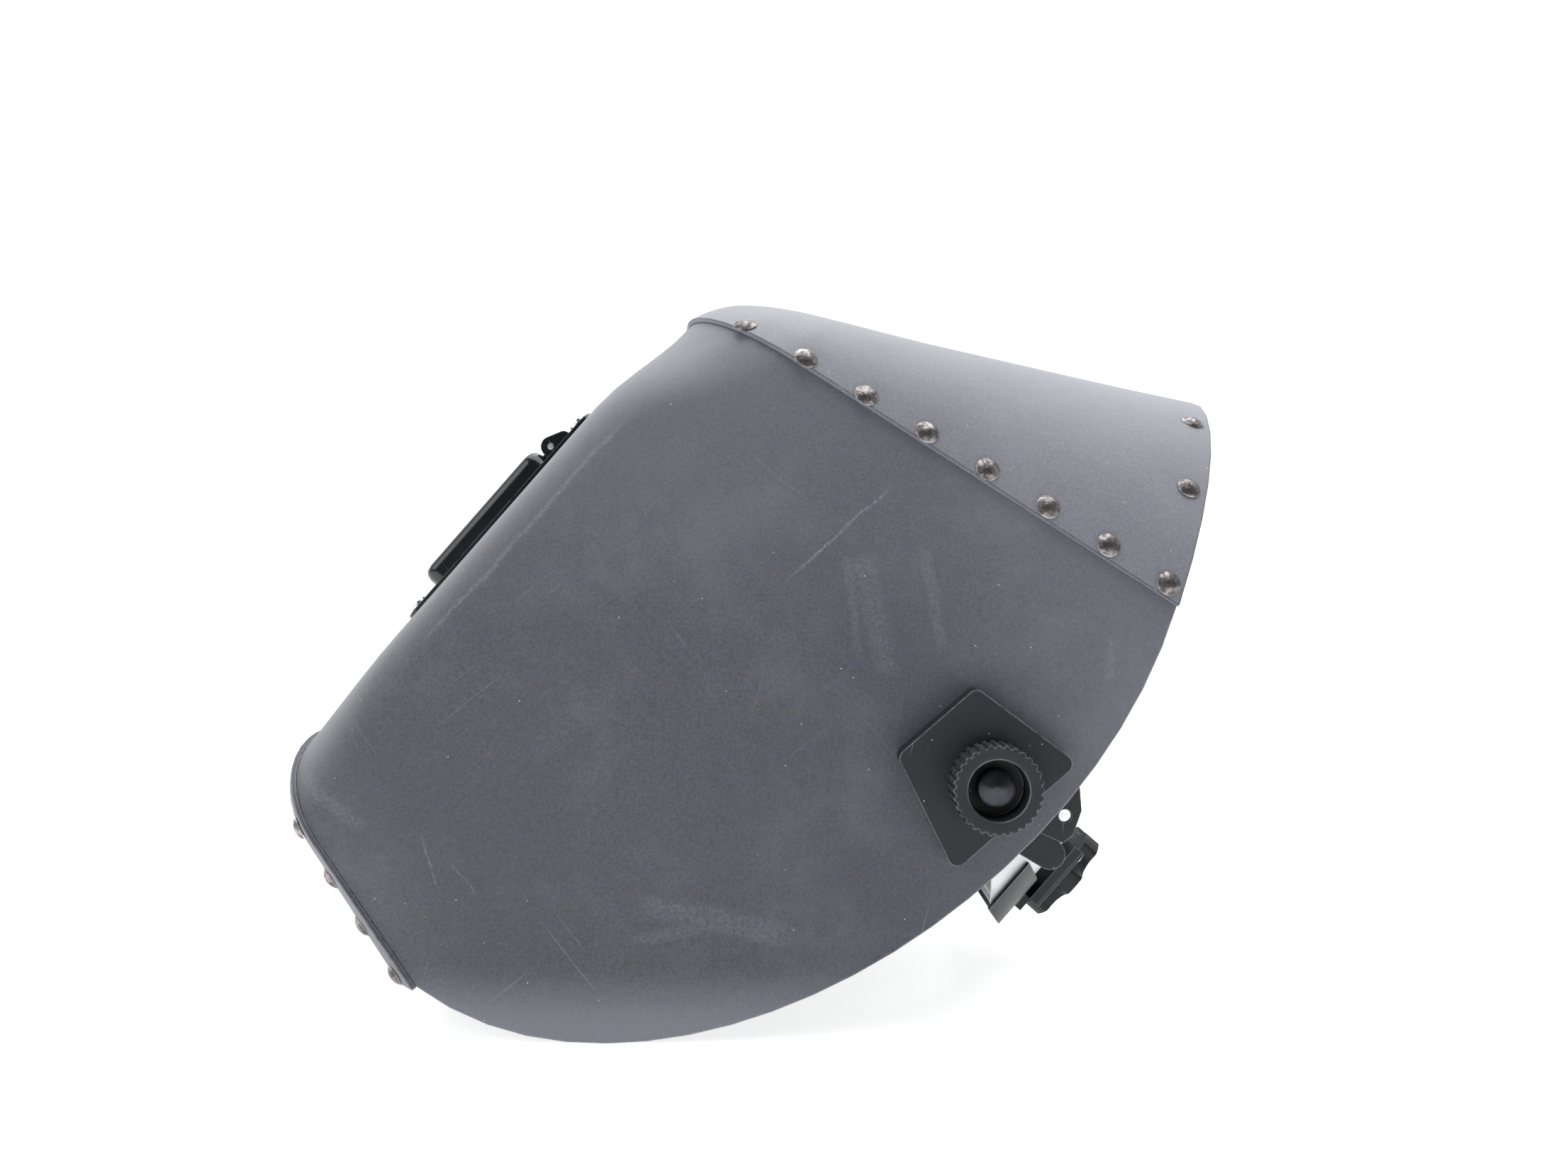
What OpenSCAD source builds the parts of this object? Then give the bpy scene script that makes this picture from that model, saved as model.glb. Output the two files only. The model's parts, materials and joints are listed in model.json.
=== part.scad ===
// Welding helmet with riveted fibre-sheet shell, lift-front lens holder and ratchet headgear.
// Every module is drawn in the helmet frame: x runs backward, y sideways and z up through the
// wearer's head, with the origin on the pivot axis. lay() then turns the whole helmet into the
// pose in which it lies on a bench.

/* [Shell] */
// Half width over the flat side panels
shell_half_w = 115; // [105:1:125]
// Thickness of the fibre sheet
sheet_t = 2; // [1.6:0.1:2.4]
// Distance from the pivot axis forward to the flat face
face_x = 201.5; // [190:0.5:210]
// Height of the top cut of the main sheet at the face
face_top = 60; // [54:1:64]
// Height of the bottom cut of the main sheet at the face
face_bottom = -167; // [-175:1:-160]
// Half width of the flat part of the face
face_flat_w = 70; // [66:1:74]
// Depth of the bend between the face and each side panel
bend_depth = 23; // [18:1:28]

/* [Rivets] */
// Radius of a rivet head
rivet_r = 4.6; // [3.5:0.05:4.7]
// Height of a rivet head
rivet_h = 1.9; // [1.4:0.1:2.4]
// Rivets along each side of the crown
crown_rivets = 8; // [6:1:9]
// Rivets along each side of the chin piece
chin_rivets = 4; // [3:1:5]

/* [Lens holder] */
// Height of the middle of the window relative to the pivot axis
window_z = -49; // [-54:1:-46]
// Width of the holder's base frame
base_w = 144; // [140:1:148]
// Height of the holder's base frame
base_h = 108; // [104:1:112]
// Thickness of the base frame's flange
base_t = 2.6; // [2:0.1:3]
// Width of the lift front
lift_w = 124; // [120:1:128]
// Height of the lift front
lift_h = 68; // [66:1:70]
// Depth of the lift front
lift_d = 9; // [8.8:0.1:11]
// Width of the lens plates
lens_w = 108; // [107:0.5:108.5]
// Height of the lens plates
lens_h = 51; // [50:0.5:51.5]

/* [Pivots] */
// Radius of the knurled tension knob
knob_r = 15.6; // [14:0.1:18]
// Height of the knurled tension knob
knob_h = 15; // [12:0.5:18]
// Thickness of the pivot plate outside the shell
plate_t = 11; // [8:0.5:13]
// Radius of the pivot stud
stud_r = 4; // [3:0.5:5]

/* [Headgear] */
// Half width of the headband
band_half_w = 78; // [72:1:84]
// Distance from the pivot axis forward to the front of the headband
band_front = 122; // [112:1:130]
// Distance from the pivot axis back to the rear of the headband
band_rear = 67; // [62:1:72]
// Height of the headband strip
band_h = 24; // [20:1:28]
// Tilt of the headband, front up
band_tilt = 15; // [10:1:20]
// Radius of the ratchet knob at its lobes
ratchet_r = 22; // [18:0.5:23]

/* [Pose on the bench] */
// Angle by which the face leans back
lay_angle = 41.2; // [38:0.1:44]
// Height of the pivot axis above the bench
pivot_height = 95.12; // [90:0.01:100]
// Distance of the pivot axis from the middle of the length
pivot_shift = 85.3; // [80:0.1:90]

/* [Hidden] */
$fn = 48;

bend_steps = 10;   // grid steps round each bend
side_steps = 6;    // grid steps along each side panel
face_steps = 22;   // grid steps up the main sheet
cap_steps = 9;     // grid steps from a cap's edge to its ridge
sheet_gap = 0.15;  // gap between overlapping sheets
knob_gap = 0.3;
plate_y = shell_half_w + knob_gap / 2;
knob_y = plate_y + plate_t + knob_gap;
fit = 0.05;        // radial clearance of a running fit

function lerp(a, b, t) = a + (b - a) * t;
function clamp01(t) = max(0, min(1, t));
function smooth(t) = clamp01(t) * clamp01(t) * (3 - 2 * clamp01(t));
function unit(v) = v / norm(v);
function bezier(p, t) =
    pow(1 - t, 3) * p[0] + 3 * t * pow(1 - t, 2) * p[1] + 3 * t * t * (1 - t) * p[2] + pow(t, 3) * p[3];

// Rear edge of the side panel in the (x, z) plane, from the chin up to the crown
rear_edge = [[-105, -193], [3, -177], [56, -15], [12, 92.8]];

// How strongly a row at height fraction v belongs to the arched top or bottom of the face
function arch_top(v) = smooth((v - 0.77) / 0.23);
function arch_low(v) = smooth((0.27 - v) / 0.27);
function row_depth(v) = bend_depth + 32 * arch_top(v) + 14 * arch_low(v);
function row_flat(v) = lerp(face_flat_w, 5, arch_top(v)) - 32 * arch_low(v);
function row_half_w(v) =
    shell_half_w - 6 * pow(clamp01((v - 0.72) / 0.28), 2) - 4 * pow(clamp01((0.16 - v) / 0.16), 2);
function row_front(v) = [-face_x - 3 * arch_low(v) - 3.5 * arch_top(v), lerp(face_bottom, face_top, v)];
function row_rear(v) = bezier(rear_edge, clamp01(v));

// One side of a row: bend from the face to the side panel, then straight back to the rear edge.
// k counts from the flat of the face, and side is 1 or -1.
function row_point(v, k, side) =
    let(
        front = row_front(v),
        rear = row_rear(v),
        back = unit(rear - front),
        reach = norm(rear - front),
        depth = row_depth(v),
        flat = row_flat(v),
        half_w = row_half_w(v),
        q = 90 * min(k, bend_steps) / bend_steps,
        run = k <= bend_steps
            ? depth * (1 - cos(q))
            : lerp(depth, reach, (k - bend_steps) / side_steps),
        p = front + back * run,
        y = lerp(flat, half_w, sin(q))
    )
    [p[0], side * y, p[1]];
row_n = bend_steps + side_steps;
function row(v) = concat(
    [for (k = [row_n:-1:0]) row_point(v, k, -1)],
    [for (k = [0:row_n]) row_point(v, k, 1)]
);

// Cap over a row: every column climbs, or drops, from the row to the ridge line in the middle plane.
// rise is the angle that the arch turns through between the two.
function cap_point(v, k, side, i, ridge, rise) =
    let(
        base = row_point(v, k, side),
        reach_front = row_front(v),
        along = norm([base[0], base[2]] - reach_front) / norm(row_point_xz(v, row_n) - reach_front),
        top = lerp(ridge[0], ridge[1], along),
        phi = rise * (1 - i / cap_steps),
        f = (1 - cos(phi)) / (1 - cos(rise)),
        p = lerp(top, [base[0], base[2]], f)
    )
    [p[0], base[1] * sin(phi) / sin(rise), p[1]];
function row_point_xz(v, k) = let(p = row_point(v, k, 1)) [p[0], p[2]];
function cap_row(v, i, ridge, rise) = concat(
    [for (k = [row_n:-1:0]) cap_point(v, k, -1, i, ridge, rise)],
    [for (k = [0:row_n]) cap_point(v, k, 1, i, ridge, rise)]
);

// Normal of a grid of points, from its neighbours
function grid_normal(g, i, j) =
    let(
        rows = len(g) - 1,
        cols = len(g[0]) - 1,
        a = g[min(i + 1, rows)][j] - g[max(i - 1, 0)][j],
        b = g[i][min(j + 1, cols)] - g[i][max(j - 1, 0)]
    )
    unit(cross(a, b));

// Closed sheet between two offsets of a grid of points. A row named by ridge is folded on itself.
module sheet(g, low, high, ridge = -1) {
    rows = len(g);
    cols = len(g[0]);
    raw = [for (i = [0:rows - 1]) [for (j = [0:cols - 1]) grid_normal(g, i, j)]];
    n = [for (i = [0:rows - 1]) [for (j = [0:cols - 1])
        i == ridge ? unit([raw[i][j][0], 0, raw[i][j][2]]) : raw[i][j]]];
    outer = [for (i = [0:rows - 1]) for (j = [0:cols - 1]) g[i][j] + n[i][j] * high];
    inner = [for (i = [0:rows - 1]) for (j = [0:cols - 1]) g[i][j] + n[i][j] * low];
    total = rows * cols;
    id = function(i, j) i == ridge ? i * cols + min(j, cols - 1 - j) : i * cols + j;
    skin = [
        for (i = [0:rows - 2]) for (j = [0:cols - 2])
            let(a = id(i, j), b = id(i, j + 1), c = id(i + 1, j + 1), d = id(i + 1, j))
            each concat(
                a == b ? [] : [[a, b, c]],
                c == d ? [] : [[a, c, d]]
            )
    ];
    edge = concat(
        ridge == 0 ? [] : [for (j = [0:cols - 2]) [id(0, j), id(0, j + 1)]],
        [for (i = [0:rows - 2]) [id(i, cols - 1), id(i + 1, cols - 1)]],
        ridge == rows - 1 ? [] : [for (j = [cols - 1:-1:1]) [id(rows - 1, j), id(rows - 1, j - 1)]],
        [for (i = [rows - 1:-1:1]) [id(i, 0), id(i - 1, 0)]]
    );
    polyhedron(
        concat(outer, inner),
        concat(
            skin,
            [for (f = skin) [f[2], f[1], f[0]] + [total, total, total]],
            [for (e = edge) each [[e[1], e[0], e[0] + total], [e[1], e[0] + total, e[1] + total]]]
        ),
        convexity = 6
    );
}

// The crown rises from the main sheet's top row, and the chin piece drops from its bottom row
crown_ridge = [[-198, 80], [-19, 181.5]];
chin_ridge = [[-201, -187], [-126, -211]];
crown_rise = 74;
chin_rise = 72;
function crown_at(k, side, i) = cap_point(1, k, side, i, crown_ridge, crown_rise);
function chin_at(k, side, i) = cap_point(0, k, side, i, chin_ridge, chin_rise);
function crown_row(i) = cap_row(1, i, crown_ridge, crown_rise);
function chin_row(i) = cap_row(0, i, chin_ridge, chin_rise);
function main_grid() = concat(
    [chin_row(1)],
    [for (i = [0:face_steps]) row(i / face_steps)],
    [crown_row(1)]
);

// Column of the row at height fraction v that lies run millimetres behind the face
function column_at(v, run) =
    let(depth = row_depth(v), reach = norm(row_rear(v) - row_front(v)))
    run < depth
        ? bend_steps * acos(1 - run / depth) / 90
        : bend_steps + side_steps * (run - depth) / (reach - depth);
// Column at which the front of a row is y millimetres from the middle
function column_across(v, y) =
    bend_steps * asin((y - row_flat(v)) / (row_half_w(v) - row_flat(v))) / 90;
// Height of a point above a cap's edge, as a step number
function step_above(h, ridge, rise, base, top) =
    cap_steps * (1 - acos(1 - (1 - h / norm(top - base)) * (1 - cos(rise))) / rise);

module place_on(p, n) {
    translate(p) rotate([0, acos(n[2]), atan2(n[1], n[0])]) children();
}
// Rivet with a domed head, a shank through two sheets and a flat tail, its seat at z = 0
module rivet() {
    dome_r = (rivet_r * rivet_r + rivet_h * rivet_h) / (2 * rivet_h);
    grip = 2 * sheet_t + sheet_gap;
    intersection() {
        translate([0, 0, rivet_h - dome_r]) sphere(dome_r);
        cylinder(r = rivet_r, h = rivet_h + 1);
    }
    translate([0, 0, -grip - 1]) cylinder(r = 1.6, h = grip + 1.01);
    translate([0, 0, -grip - 1.2]) cylinder(r = 3, h = 0.9);
}
// Rivet seated on a cap, given the cap's point, its neighbours along two directions and its side.
// way is 1 on the crown, which climbs, and -1 on the chin piece, which drops.
module cap_rivet(p, up, along, side, way) {
    n = side * way * unit(cross(up - p, along - p));
    place_on(p + n * (sheet_t + sheet_gap), n) rivet();
}
module crown_rivet(k, side, i) {
    cap_rivet(crown_at(k, side, i), crown_at(k, side, i + 0.1), crown_at(k + 0.1, side, i), side, 1);
}
module chin_rivet(k, side, i) {
    cap_rivet(chin_at(k, side, i), chin_at(k, side, i + 0.1), chin_at(k + 0.1, side, i), side, -1);
}
function crown_step(k, h) =
    step_above(h, crown_ridge, crown_rise, row_point_xz(1, k),
        lerp(crown_ridge[0], crown_ridge[1], clamp01(k / row_n)));
function chin_step(k, h) =
    step_above(h, chin_ridge, chin_rise, row_point_xz(0, k),
        lerp(chin_ridge[0], chin_ridge[1], clamp01(k / row_n)));

// Block with rounded upright edges, centred, standing on z = 0
module round_block(size, r) {
    linear_extrude(size[2]) offset(r) square([size[0] - 2 * r, size[1] - 2 * r], center = true);
}
// Turns and shifts a piece from the helmet frame to its pose on the bench
module lay() {
    translate([pivot_shift, 0, pivot_height]) rotate([0, lay_angle, 0]) children();
}
// Frame of the window: x up, y sideways, z out of the face
module at_window() {
    lay() translate([-face_x, 0, window_z]) rotate([0, -90, 0]) children();
}
// Frame of one pivot: x backward, y down, z outward along the pivot axis
module at_pivot(side) {
    lay() mirror([0, side < 0 ? 1 : 0, 0]) rotate([-90, 0, 0]) children();
}
// Frame of the headband: x backward along the tilted band, z up
module at_band() {
    lay() rotate([0, band_tilt, 0]) children();
}

// ---- shell ----
module main_shell() {
    color("#5d646b") difference() {
        lay() sheet(main_grid(), -sheet_t, 0);
        at_window() translate([lift_x, 0, -6]) cube([body_h + 2, body_w + 2, 12 + 6], center = true);
        at_window() for (x = [-1, 1], y = [-1, 1])
            translate([x * screw_x, y * screw_y, -6]) cylinder(r = screw_r + 0.3, h = 12);
        lay() rotate([90, 0, 0]) cylinder(r = stud_r + 0.8, h = 3 * shell_half_w, center = true);
    }
}
module crown_cap() {
    color("#8f929a") lay()
        sheet([for (i = [0:cap_steps]) crown_row(i)], sheet_gap, sheet_gap + sheet_t, cap_steps);
}
module chin_piece() {
    color("#6a7076") lay()
        sheet([for (i = [cap_steps:-1:0]) chin_row(i)], sheet_gap, sheet_gap + sheet_t, 0);
}
// Strip inside the crown's rear edge, which the rear rivets clamp
module crown_edge_strip() {
    strip = [for (c = [0:3]) concat(
        [for (i = [2:cap_steps - 1]) crown_at(row_n - c * 0.55 - 0.05, -1, i)],
        [crown_at(row_n - c * 0.55 - 0.05, 1, cap_steps)],
        [for (i = [cap_steps - 1:-1:2]) crown_at(row_n - c * 0.55 - 0.05, 1, i)]
    )];
    color("#54585e") lay() sheet([for (c = [3:-1:0]) strip[c]], -sheet_t - 0.6, -0.6);
}
first_rivet = 30.5;   // first crown rivet behind the face
rivet_pitch = 26.1;
rivet_inset = [6.4, 5]; // first and last crown rivet above the crown's edge
module crown_side_rivets() {
    color("#3a3635") lay() for (side = [-1, 1], n = [0:crown_rivets - 1]) {
        k = column_at(1, first_rivet + n * rivet_pitch);
        inset = lerp(rivet_inset[0], rivet_inset[1], n / (crown_rivets - 1));
        crown_rivet(k, side, crown_step(k, inset));
    }
}
module crown_rear_rivets() {
    color("#3a3635") lay() for (side = [-1, 1], phi = [31, 52])
        crown_rivet(row_n - 0.28, side, cap_steps * (1 - phi / crown_rise));
}
module crown_front_rivets() {
    color("#3a3635") lay() for (side = [-1, 1]) {
        k = column_across(1, 14);
        crown_rivet(k, side, crown_step(k, 5.2));
    }
}
chin_pitch = 22.5;
chin_inset = 6;
module chin_rivet_row() {
    color("#3a3635") lay() for (side = [-1, 1]) {
        for (n = [0:chin_rivets - 1]) {
            k = column_at(0, first_rivet + 0.5 + n * chin_pitch);
            chin_rivet(k, side, chin_step(k, chin_inset));
        }
        front = column_across(0, 52);
        chin_rivet(front, side, chin_step(front, chin_inset));
    }
}

// ---- lens holder ----
lift_x = -5.5;                    // middle of the lift front below the middle of the base
body_h = 74;                      // height of the holder's body inside the window
body_w = 130;                     // width of that body
body_d = 8;                       // depth of that body behind the flange
flange_z = 0.2;                   // back of the flange above the face
view_h = lens_h - 5;
view_w = lens_w - 6;
screw_r = 2;
screw_x = 48;
screw_y = 65.5;
lift_z = flange_z + base_t + 0.5; // back of the lift front
pin_r = 1.25;
barrel_r = 4.2;
pin_x = lift_x + lift_h / 2 + 5.2;
pin_z = flange_z + base_t + barrel_r + 0.5;
barrel_w = 100;
ear_w = 7;
module holder_base() {
    color("#202226") at_window() difference() {
        union() {
            translate([0, 0, flange_z]) round_block([base_h, base_w, base_t], 5);
            translate([lift_x, 0, -body_d]) round_block([body_h, body_w, body_d + flange_z + 0.1], 3);
            for (side = [-1, 1]) translate([0, side * (barrel_w / 2 + 0.5 + ear_w / 2), 0]) {
                rotate([90, 0, 0]) linear_extrude(ear_w, center = true) hull() {
                    translate([pin_x, pin_z]) circle(barrel_r);
                    translate([pin_x + 6, pin_z - 1.4]) circle(2.8);
                    translate([pin_x - barrel_r, flange_z + 1]) square([2 * barrel_r + 6, 1]);
                }
            }
            for (end = [-1, 1], n = [0:11])
                translate([end * (base_h / 2 - 2.2), (n - 5.5) * 9.6, flange_z + base_t - 0.1])
                    cube([2.6, 5, 0.9], center = true);
        }
        translate([lift_x, 0, -body_d - 1]) round_block([view_h, view_w, body_d + 8], 2);
        translate([lift_x, 0, -body_d - 1]) round_block([lens_h + 0.8, lens_w + 0.8, body_d - 1], 1);
        for (x = [-1, 1], y = [-1, 1])
            translate([x * screw_x, y * screw_y, -1]) cylinder(r = screw_r + fit, h = 8);
        translate([pin_x, 0, pin_z]) rotate([90, 0, 0])
            cylinder(r = pin_r + fit, h = base_w, center = true);
    }
}
module holder_clamp_frame() {
    color("#2a2c30") at_window() translate([0, 0, -sheet_t - 2.7]) difference() {
        round_block([base_h - 2, 2 * face_flat_w, 2.5], 4);
        translate([lift_x, 0, -1]) cube_on([body_h + 1, body_w + 1, 5]);
        for (x = [-1, 1], y = [-1, 1])
            translate([x * screw_x, y * screw_y, -1]) cylinder(r = screw_r + fit, h = 8);
    }
}
module cube_on(size) {
    translate([-size[0] / 2, -size[1] / 2, 0]) cube(size);
}
module holder_screws() {
    color("#6c6f73") at_window() for (x = [-1, 1], y = [-1, 1])
        translate([x * screw_x, y * screw_y, 0]) difference() {
            union() {
                translate([0, 0, -9]) cylinder(r = screw_r, h = 9 + flange_z + base_t);
                translate([0, 0, flange_z + base_t]) cylinder(r = 3.6, h = 1.8);
            }
            translate([0, 0, flange_z + base_t + 1.8]) cube([0.9, 8, 1.6], center = true);
        }
}
module holder_nuts() {
    color("#8a8d90") at_window() for (x = [-1, 1], y = [-1, 1])
        translate([x * screw_x, y * screw_y, -8.2]) difference() {
            cylinder(r = 3.9, h = 3.2, $fn = 6);
            translate([0, 0, -1]) cylinder(r = screw_r + 0.02, h = 6);
        }
}
module safety_plate() {
    color("#cfe0e8", 0.4) at_window() translate([lift_x, 0, -4.5]) cube_on([lens_h, lens_w, 2.2]);
}
// Bent sheet frame that holds the inner plate in its pocket
module plate_spring() {
    color("#a7a9ab") at_window() translate([lift_x, 0, -5.4]) difference() {
        union() {
            cube_on([lens_h, lens_w, 0.7]);
            for (side = [-1, 1]) translate([0, side * (lens_w / 2 - 5), -1.8])
                cube_on([30, 6, 1.9]);
        }
        translate([0, 0, -3]) cube_on([lens_h - 9, lens_w - 24, 8]);
    }
}
module lift_frame() {
    color("#17191c") at_window() difference() {
        union() {
            translate([lift_x, 0, lift_z]) hull() {
                round_block([lift_h, lift_w, lift_d - 4], 6);
                translate([0, 0, lift_d - 2]) round_block([lift_h - 1.1, lift_w - 1.1, 0.1], 5.5);
                translate([0, 0, lift_d - 0.7]) round_block([lift_h - 3.5, lift_w - 3.5, 0.1], 4.5);
                translate([0, 0, lift_d - 0.1]) round_block([lift_h - 7, lift_w - 7, 0.1], 3);
            }
            translate([pin_x, 0, pin_z]) rotate([90, 0, 0])
                cylinder(r = barrel_r, h = barrel_w, center = true);
            translate([lift_x + lift_h / 2 - 2, -barrel_w / 2, pin_z - 1.6])
                cube([pin_x - lift_x - lift_h / 2 + 2, barrel_w, 3.2]);
            translate([lift_x - lift_h / 2 - 2.6, 0, lift_z + 2]) cube_on([6, 34, 3]);
        }
        translate([lift_x, 0, lift_z - 1]) round_block([view_h, view_w, lift_d + 3], 2);
        translate([lift_x, 0, lift_z - 1]) round_block([lens_h + 0.8, lens_w + 0.8, lift_d - 0.6], 1);
        translate([pin_x, 0, pin_z]) rotate([90, 0, 0])
            cylinder(r = pin_r + fit, h = base_w, center = true);
        for (side = [-1, 1]) translate([pin_x, side * spring_y, pin_z]) rotate([90, 0, 0])
            cylinder(r = barrel_r + 0.9, h = spring_w + 1, center = true);
    }
}
module filter_plate() {
    color("#0e1a12", 0.9) at_window() translate([lift_x, 0, lift_z + 1.7]) cube_on([lens_h, lens_w, 3]);
}
module cover_plate() {
    color("#cfe0e8", 0.4) at_window() translate([lift_x, 0, lift_z + 4.9]) cube_on([lens_h, lens_w, 1.6]);
}
module lift_retainer() {
    color("#a7a9ab") at_window() translate([lift_x, 0, lift_z + 0.6]) difference() {
        cube_on([lens_h, lens_w, 0.9]);
        translate([0, 0, -1]) cube_on([lens_h - 9, lens_w - 12, 4]);
    }
}
module hinge_pin() {
    color("#b5b7b9") at_window() translate([pin_x, 0, pin_z]) rotate([90, 0, 0])
        cylinder(r = pin_r, h = barrel_w + 2 * ear_w + 3, center = true);
}
// Two torsion coils in the notches of the barrel
spring_y = 30;
spring_w = 8;
spring_wire = 0.45;
coil_r = 2.6;
module hinge_spring() {
    color("#9a9c9e") at_window() for (side = [-1, 1])
        translate([pin_x, side * spring_y, pin_z]) rotate([90, 0, 0]) {
            for (n = [-3:3]) translate([0, 0, n]) rotate_extrude()
                translate([coil_r, 0]) circle(spring_wire + 0.07, $fn = 16);
            translate([-coil_r, 0, 0]) cube([spring_wire, spring_wire, 6], center = true);
        }
}

// ---- pivots ----
disc_t = 2.5;
washer_t = 1.5;
inner_y = shell_half_w - sheet_t - 0.3;
disc_y = inner_y - disc_t;
arm_t = 3;
arm_y = disc_y - washer_t - 0.6 - arm_t;
plate_outline = [[-31.5, 14.5], [-26.5, -22], [18, -25.5], [10.5, 32]];
module pivot_plate(side) {
    color("#2b2d31") at_pivot(side) translate([0, 0, plate_y]) difference() {
        linear_extrude(plate_t) offset(3.5) offset(delta = -3.5) polygon(plate_outline);
        translate([0, 0, -1]) cylinder(r = stud_r + fit, h = plate_t + 2);
    }
}
module friction_washer(side) {
    color("#3a2d25") at_pivot(side) translate([0, 0, arm_y + arm_t + 0.3]) difference() {
        cylinder(r = 11, h = washer_t);
        translate([0, 0, -1]) cylinder(r = stud_r + fit, h = 4);
    }
}
module stop_disc(side) {
    color("#24262a") at_pivot(side) translate([0, 0, disc_y]) difference() {
        union() {
            cylinder(r = 17, h = disc_t);
            translate([-30, -5, 0]) cube([16, 10, disc_t]);
        }
        translate([0, 0, -1]) cylinder(r = stud_r + fit, h = 6);
    }
}
scallops = 32;
recess_r = 10.5;
module tension_knob(side) {
    color("#1b1d20") at_pivot(side) translate([0, 0, knob_y]) difference() {
        linear_extrude(knob_h) difference() {
            circle(knob_r);
            for (n = [0:scallops - 1]) rotate(n * 360 / scallops) translate([knob_r + 0.35, 0])
                circle(1.15, $fn = 16);
        }
        translate([0, 0, 4]) cylinder(r = recess_r, h = knob_h);
        translate([0, 0, -1]) cylinder(r = stud_r + fit, h = knob_h);
    }
}
module knob_insert(side) {
    color("#45484c") at_pivot(side) translate([0, 0, knob_y + 4.02]) difference() {
        union() {
            cylinder(r = 6.4, h = 6.4);
            translate([0, 0, 6.4]) cylinder(r1 = 6.4, r2 = 1.2, h = 1.6);
        }
        translate([0, 0, -1]) cylinder(r = stud_r + fit, h = 5.6);
    }
}
module pivot_stud(side) {
    color("#8d8f92") at_pivot(side) union() {
        translate([0, 0, arm_y - 2.6]) cylinder(r = 8, h = 2.5);
        translate([0, 0, arm_y - 0.2]) cylinder(r = stud_r, h = knob_y + 8 - arm_y);
    }
}
bracket_y = band_half_w + 0.3;
bracket_t = 2.2;
// Bent arm from the headband's bracket out to the pivot
module pivot_arm(side) {
    reach = arm_y + arm_t - bracket_y - bracket_t - 0.2;
    color("#222428") at_pivot(side) difference() {
        union() {
            translate([0, 0, arm_y]) cylinder(r = 13, h = arm_t);
            translate([-24, -13, arm_y]) cube([24, 26, arm_t]);
            translate([-24, -13, arm_y + arm_t - reach]) cube([3, 26, reach]);
            translate([-42, -13, arm_y + arm_t - reach]) cube([21, 26, 2.6]);
        }
        translate([0, 0, arm_y - 1]) cylinder(r = stud_r + 0.02, h = arm_t + 2);
    }
}

// ---- headgear ----
band_t = 2;
leg_front = -10;
leg_tip = [46, 6];   // middle of the rounded tip of each headband leg
leg_tip_r = 6;
// Outline of a band seen from above: a straight leg and half an ellipse, dir -1 for the front
function half_ring(x0, a, w, leg, dir) = concat(
    [[x0 - dir * leg, w]],
    [for (q = [90:-5:-90]) [x0 + dir * a * cos(q), w * sin(q)]],
    [[x0 - dir * leg, -w]]
);
function reversed(p) = [for (i = [len(p) - 1:-1:0]) p[i]];
module band(x0, a, w, t, leg, dir, h) {
    translate([0, 0, -h / 2]) linear_extrude(h)
        polygon(concat(half_ring(x0, a, w, leg, dir), reversed(half_ring(x0, a - t, w - t, leg, dir))));
}
// Everything within an outline in the (x, z) plane
module side_cut(outline) {
    intersection() {
        children();
        rotate([90, 0, 0]) linear_extrude(4 * band_half_w, center = true) polygon(outline);
    }
}
leg_end = [
    for (q = [80:-20:-60]) leg_tip + leg_tip_r * [cos(q), sin(q)],
    [22, -band_h / 2], [-band_front - 1, -band_h / 2], [-band_front - 1, band_h / 2], [22, band_h / 2]
];
module front_headband() {
    color("#1d1f22") at_band() side_cut(leg_end)
        band(leg_front, band_front + leg_front, band_half_w, band_t, leg_tip[0] + 8 - leg_front, -1, band_h);
}
module sweatband() {
    color("#c9cac6") at_band() intersection() {
        band(leg_front, band_front + leg_front - band_t - 0.3, band_half_w - band_t - 0.3, 5, 20, -1,
            band_h + 10);
        translate([-155, -100, -50]) cube([100, 200, 100]);
    }
}
bracket_outline = [
    [-44, -12], [28, -12], [31, 4], [44.5, 12.5], [44, 17.5], [38, 25.5], [30, 30],
    [-4, 34], [-28, 34], [-44, 12]
];
bracket_rivet_x = [-36, 24];
module side_bracket(side) {
    color("#232529") at_band() mirror([0, side < 0 ? 1 : 0, 0])
        translate([0, bracket_y + bracket_t, 0]) rotate([90, 0, 0]) difference() {
            linear_extrude(bracket_t) polygon(bracket_outline);
            translate([36, 19, -1]) cylinder(r = 2.4, h = 6);
            for (x = bracket_rivet_x) translate([x, -3, -1]) cylinder(r = 2.02, h = 6);
        }
}
module bracket_rivets() {
    color("#7c7e80") at_band() for (side = [-1, 1], x = bracket_rivet_x)
        mirror([0, side < 0 ? 1 : 0, 0]) translate([x, band_half_w - band_t - 0.1, -3])
            rotate([-90, 0, 0]) {
                cylinder(r = 2, h = bracket_t + band_t + 0.5);
                translate([0, 0, bracket_t + band_t + 0.45]) cylinder(r = 3.2, h = 0.9);
            }
}
strap_w = 20;
strap_t = 1.5;
strap_top = 104;
strap_x = -4;        // rear edge of the overhead straps
strap_z = 12.2;      // level from which they rise
strap_rise = 0.9;    // height of the arch relative to its radius
// Point of the straps' arch at an angle, with z along the arch's radius
module at_arch(q, drop) {
    translate([
        strap_x - strap_w / 2,
        -bracket_y * cos(q),
        strap_z + (strap_top - drop) * strap_rise * sin(q)
    ])
        rotate([90 - q, 0, 0]) children();
}
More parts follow.
